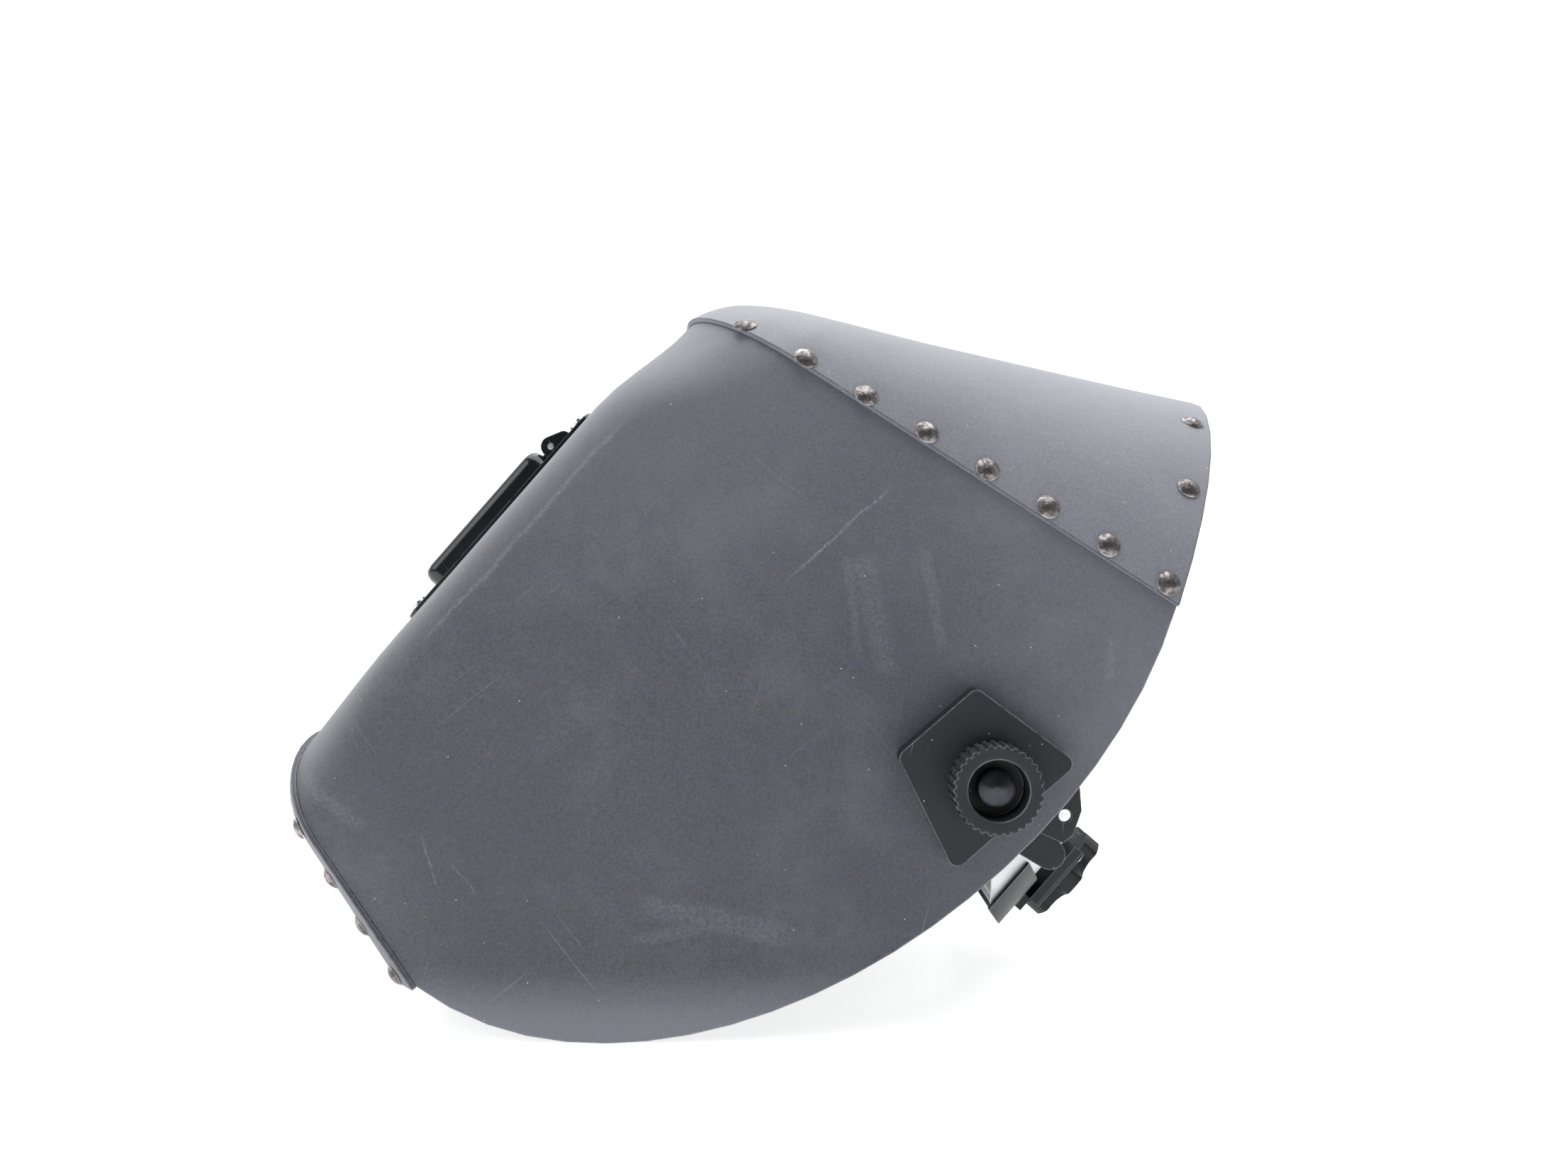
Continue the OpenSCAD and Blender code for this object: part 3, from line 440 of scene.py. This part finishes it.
def lens_material(name, colour, clear):
    """Flat plate of glass or polycarbonate, with smears and fine scratches."""
    material, t, shader = new_material(name, IOR=1.5, Transmission_Weight=clear)
    place = t.place()
    smear = t.ramp(t.noise(t.stretch(place, (1, 0.4, 1)), 60.0, 5.0, 0.6), 0.35, 0.75)
    lines = t.group("hairlines", Place=place, Scale=2.5)
    tone = t.mix(t.math("MULTIPLY", lines.outputs["Mask"], 0.3), shade(colour, 1), (0.80, 0.82, 0.82, 1))
    t.put(shader.inputs["Base Color"], tone)
    t.put(shader.inputs["Roughness"], t.ramp(smear, 0.0, 1.0, 0.03, 0.14))
    return material


def cloth_material(name, colour, dirt):
    """Knitted cloth: rows of small stitches, soft sheen, fuzz and grey handling marks."""
    material, t, shader = new_material(name, Sheen_Weight=0.5, Sheen_Roughness=0.6)
    place = t.place()
    rows = t.add("ShaderNodeTexWave", {"bands_direction": "Z"}, Vector=place, Scale=420.0, Distortion=3.0,
                 Detail=2.0, Detail_Scale=3.0)
    ribs = t.add("ShaderNodeTexWave", {"bands_direction": "Y"}, Vector=place, Scale=520.0, Distortion=2.0)
    stitch = t.math("MULTIPLY", rows.outputs["Fac"], ribs.outputs["Fac"])
    fuzz = t.noise(place, 2200.0, 3.0, 0.7)
    soil = t.ramp(t.noise(place, 38.0, 5.0, 0.6), 0.42, 0.78)
    tone = t.mix(t.ramp(stitch, 0.0, 0.6), shade(colour, 0.72), shade(colour, 1))
    tone = t.mix(t.math("MULTIPLY", soil, dirt), tone, (0.34, 0.33, 0.31, 1))
    tone = t.mix(t.math("MULTIPLY", fuzz, 0.15), tone, (0.9, 0.9, 0.88, 1))
    t.put(shader.inputs["Base Color"], tone)
    t.put(shader.inputs["Roughness"], t.ramp(fuzz, 0.3, 0.7, 0.82, 0.95))
    height = t.math("ADD", t.math("MULTIPLY", stitch, 0.8), t.math("MULTIPLY", fuzz, 0.2))
    set_bump(t, shader, height, 0.00035, 0.8)
    return material


for build_group in (make_grain, make_edge_wear_and_shade, make_dust, make_hairlines, make_mark):
    build_group()

# Material of each slot
FINISH = {
    "fibre_sheet": fibre_material("fibre_sheet", (0.054, 0.058, 0.071), PANEL_MARKS,
                                  edge_wear_and_shade_colour=PALE_DUST_AND_PAINTED_LIGHT, edge_width=0.0009, edge_amount=0.55),
    # The crown's fibre colour is a lighter copy of the side sheet's: painted light on the crown, which
    # faces the top softbox
    "fibre_crown": fibre_material("fibre_crown", (0.100, 0.102, 0.122), (),
                                  # near-black crown edges: painted shade along the crown sheet's cut edge
                                  edge_wear_and_shade_colour=(0.018, 0.023, 0.027, 1), edge_width=0.0008, edge_amount=2.2),
    "rivet_bronze": metal_material("rivet_bronze", (0.080, 0.072, 0.075), (0.22, 0.20, 0.20), 0.36, 0.0003),
    "holder_plastic": moulded_material("holder_plastic", (0.008, 0.009, 0.012), 0.16, grain_depth=0.00001),
    "clear_lens": lens_material("clear_lens", (0.90, 0.95, 0.94), 0.95),
    "filter_glass": lens_material("filter_glass", (0.010, 0.035, 0.016), 0.25),
    "bright_steel": metal_material("bright_steel", (0.34, 0.34, 0.35), (0.56, 0.56, 0.57), 0.30, 0.00006),
    "pivot_plastic": moulded_material("pivot_plastic", (0.012, 0.013, 0.017), 0.52, wear=0.8, shine=0.32),
    "insert_metal": turned_material("insert_metal", (0.040, 0.043, 0.050)),
    "fibre_washer": moulded_material("fibre_washer", (0.07, 0.045, 0.03), 0.8, grain_scale=900.0),
    "headgear_black": moulded_material("headgear_black", (0.010, 0.011, 0.013), 0.45, wear=0.6, shine=0.35),
    "headgear_white": moulded_material("headgear_white", (0.62, 0.64, 0.66), 0.32, wear=0.1),
    "sweatband_cloth": cloth_material("sweatband_cloth", (0.62, 0.62, 0.60), 0.35),
}


# ---------------------------------------------------------------- mesh helpers
MERGE_DISTANCE = 1e-6
EDGE_ROUNDING = 0.0003


def new_piece(name, bm, body, slot, stands_for=()):
    """Object from a bmesh, with its place in its mesh, riding on a body and finished from a slot."""
    bmesh.ops.recalc_face_normals(bm, faces=bm.faces)
    mesh = bpy.data.meshes.new(name)
    bm.to_mesh(mesh)
    bm.free()
    for polygon in mesh.polygons:
        polygon.use_smooth = True
    piece = bpy.data.objects.new(name, mesh)
    bpy.context.scene.collection.objects.link(piece)
    mesh.materials.append(FINISH[slot])
    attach(piece, body)
    for node in stands_for:
        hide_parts(node)
    return piece


def apply_modifiers(piece):
    """Bakes a piece's modifiers into its mesh."""
    graph = bpy.context.evaluated_depsgraph_get()
    mesh = bpy.data.meshes.new_from_object(piece.evaluated_get(graph))
    piece.modifiers.clear()
    piece.data = mesh


def even_shading(piece):
    """Keeps flat faces flat in the shading beside rounded edges."""
    flow = piece.modifiers.new("flow", "WEIGHTED_NORMAL")
    flow.keep_sharp = True


def merged_copy(node):
    """Bmesh copy of a CAD node's mesh with its loose triangles joined."""
    bm = bmesh.new()
    bm.from_mesh(NODES[node].data)
    bmesh.ops.remove_doubles(bm, verts=bm.verts, dist=MERGE_DISTANCE)
    return bm


def smooth_step(value, low, high):
    """0 below low, 1 above high and smooth between."""
    t = min(1.0, max(0.0, (value - low) / (high - low)))
    return t * t * (3 - 2 * t)


# ---------------------------------------------------------------- padded pieces
TUCK = 0.0006               # how far the pad's cover starts inside the CAD solid
MOST_PUFF = 0.0022          # furthest that the cover moves out from there
PUFF_FRAMES = 20
SEAM_DEPTH = 0.0008
SEAM_INNER, SEAM_OUTER = 0.0004, 0.0024     # half widths of a seam's bottom and of its shoulders
SEAMS = (-0.0125, 0.0125)   # heights of the sweatband's seams in the headband's frame


def puff_up(piece):
    """Blows the cover out as cloth under pressure, with its backing held, and caps how far it goes."""
    start = [v.co.copy() for v in piece.data.vertices]
    cloth = piece.modifiers.new("puff", "CLOTH")
    cloth.settings.quality = 4
    cloth.settings.use_pressure = True
    cloth.settings.uniform_pressure_force = 4
    cloth.settings.effector_weights.gravity = 0
    cloth.settings.vertex_group_mass = "backing"
    cloth.settings.tension_stiffness = 12
    cloth.settings.bending_stiffness = 0.4
    cloth.point_cache.frame_start = 1
    cloth.point_cache.frame_end = PUFF_FRAMES
    for step in range(1, PUFF_FRAMES + 1):
        bpy.context.scene.frame_set(step)
    apply_modifiers(piece)
    bpy.context.scene.frame_set(1)
    for vertex, first in zip(piece.data.vertices, start):
        move = vertex.co - first
        if move.length > MOST_PUFF:
            vertex.co = first + move.normalized() * MOST_PUFF


def stuffed_pad(node, body, voxel, seams):
    """Cloth pad that stands for a CAD solid, with channels sewn along it at the heights in seams."""
    piece = new_piece(node + "_cloth", merged_copy(node), body, "sweatband_cloth", (node,))
    even = piece.modifiers.new("even", "REMESH")
    even.mode = "VOXEL"
    even.voxel_size = voxel
    apply_modifiers(piece)
    to_band = BAND.inverted()
    # The backing, held still, is all that faces away from the head; normals come first, as moving
    # a vertex makes them all be worked out again
    normals = [v.normal.copy() for v in piece.data.vertices]
    backing = []
    for vertex, normal in zip(piece.data.vertices, normals):
        outward = to_band @ vertex.co
        outward.z = 0
        if (to_band.to_3x3() @ normal).dot(outward.normalized()) > 0.6:
            backing.append(vertex.index)
        vertex.co -= normal * TUCK
    piece.vertex_groups.new(name="backing").add(backing, 1.0, "REPLACE")
    puff_up(piece)
    rounder = piece.modifiers.new("rounder", "SUBSURF")
    rounder.levels = 1
    rounder.render_levels = 1
    apply_modifiers(piece)
    normals = [v.normal.copy() for v in piece.data.vertices]
    for vertex, normal in zip(piece.data.vertices, normals):
        level = (to_band @ vertex.co).z
        for height in seams:
            near = 1 - smooth_step(abs(level - height), SEAM_INNER, SEAM_OUTER)
            vertex.co -= normal * near * SEAM_DEPTH
    for polygon in piece.data.polygons:
        polygon.use_smooth = True
    return piece


# ---------------------------------------------------------------- tension knobs
SCALLOPS = 32
POINTS_PER_SCALLOP = 10
SCALLOP_DEPTH = 0.85        # mm
SCALLOP_WIDTH = 0.62        # as a share of the pitch
# Half section of a knob, from its bore round the outside and down into the recess: radius, height
# from the inner end (both mm) and the share of the scallops' depth that is cut there
KNOB_SECTION = (
    (4.05, 0.0, 0.0), (14.0, 0.0, 0.0), (15.3, 0.0, 1.0), (15.6, 0.3, 1.0), (15.6, 7.0, 1.0),
    (15.6, 14.3, 1.0), (15.55, 14.75, 1.0), (15.35, 15.0, 0.95), (14.2, 15.0, 0.0), (12.5, 14.9, 0.0),
    (11.0, 14.95, 0.0), (10.65, 14.85, 0.0), (10.45, 14.5, 0.0), (10.4, 9.0, 0.0), (10.3, 4.5, 0.0),
    (9.8, 4.0, 0.0), (4.05, 4.0, 0.0),
)


def tension_knob(node, joint, body):
    """Knob with scalloped grip, rounded rim and a deep recess, spun round its axis and then fluted."""
    low, high = (Vector(corner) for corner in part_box(node))
    centre = Vector(JOINTS[joint]["pos_m"])
    outward = 1 if centre.y > 0 else -1
    centre.y = low.y if outward > 0 else high.y
    bm = bmesh.new()
    depth = bm.verts.layers.float.new("scallop_depth")
    section = []
    for radius, height, cut in KNOB_SECTION:
        vertex = bm.verts.new((radius * MM, outward * height * MM, 0))
        vertex[depth] = cut * SCALLOP_DEPTH
        section.append(vertex)
    edges = [bm.edges.new(pair) for pair in zip(section, section[1:] + section[:1])]
    bmesh.ops.spin(bm, geom=section + edges, cent=(0, 0, 0), axis=(0, 1, 0), angle=2 * math.pi,
                   steps=SCALLOPS * POINTS_PER_SCALLOP, use_merge=True)
    for vertex in bm.verts:
        if vertex[depth] > 0:
            turn = math.atan2(vertex.co.z, vertex.co.x) * SCALLOPS / (2 * math.pi)
            phase = abs(turn % 1 - 0.5) * 2
            groove = max(0.0, 1 - (phase / SCALLOP_WIDTH) ** 2)
            radius = math.hypot(vertex.co.x, vertex.co.z)
            scale = 1 - vertex[depth] * groove * MM / radius
            vertex.co.x *= scale
            vertex.co.z *= scale
    bmesh.ops.translate(bm, verts=bm.verts, vec=centre)
    even_shading(new_piece(node + "_moulding", bm, body, "pivot_plastic", (node,)))


# ---------------------------------------------------------------- stitches
STITCH_PITCH = 0.0042
STITCH_SIZE = (0.0014, 0.0003, 0.0003)      # half length, half width and half height
STITCH_LIFT = 0.00005
HEAD_CENTRE = Vector((-0.01, 0, 0))         # in the headband's frame
FIRST_ANGLE, ANGLE_SPAN, ANGLE_STEPS = 115, 130, 1400       # round the head, in degrees
SEARCH_FROM, SEARCH_LENGTH = 0.05, 0.12     # rays from near the head's centre out to the pad


def row_of_stitches(pad, heights):
    """Thread stitches laid along a pad's inner face at given heights in the headband's frame."""
    surface = BVHTree.FromObject(pad, bpy.context.evaluated_depsgraph_get())
    bm = bmesh.new()
    for height in heights:
        last = None
        for step in range(ANGLE_STEPS + 1):
            angle = math.radians(FIRST_ANGLE + ANGLE_SPAN * step / ANGLE_STEPS)
            way = Vector((math.cos(angle), math.sin(angle), 0))
            start = BAND @ (HEAD_CENTRE + way * SEARCH_FROM + Vector((0, 0, height)))
            hit, normal, _, _ = surface.ray_cast(start, BAND.to_3x3() @ way, SEARCH_LENGTH)
            if hit is None:
                continue
            if last is None:
                last = hit
            if (hit - last).length < STITCH_PITCH:
                continue
            along = (hit - last).normalized()
            side = normal.cross(along).normalized()
            turn = Matrix((along, side, normal)).transposed().to_4x4()
            place = Matrix.Translation(hit + normal * STITCH_LIFT) @ turn
            bmesh.ops.create_icosphere(bm, subdivisions=2, radius=1,
                                       matrix=place @ Matrix.Diagonal((*STITCH_SIZE, 1)))
            last = hit
    new_piece("sweatband_stitches", bm, "headgear", "sweatband_cloth")


# ---------------------------------------------------------------- the helmet
def finish_cad_node(node, slot):
    """Joins a CAD node's loose triangles, rounds its sharp edges a little and gives it its material."""
    weld = node.modifiers.new("weld", "WELD")
    weld.merge_threshold = MERGE_DISTANCE
    edge = node.modifiers.new("edge", "BEVEL")
    edge.width = EDGE_ROUNDING
    edge.segments = 2
    edge.angle_limit = math.radians(35)
    for polygon in node.data.polygons:
        polygon.use_smooth = True
    even_shading(node)
    node.data.materials.clear()
    node.data.materials.append(FINISH[slot])


make_camera()
make_studio()
sweatband = stuffed_pad("sweatband", "headgear", 0.0024, SEAMS)
row_of_stitches(sweatband, SEAMS)
tension_knob("tension_knob_left", "left_knob_turn", "left_knob")
tension_knob("tension_knob_right", "right_knob_turn", "right_knob")
stuffed_pad("nape_pad", "rear_carrier", 0.0022, ())
for subpart in frame["record"]["subparts"]:
    finish_cad_node(NODES[subpart["node"]], subpart["material_slot"])
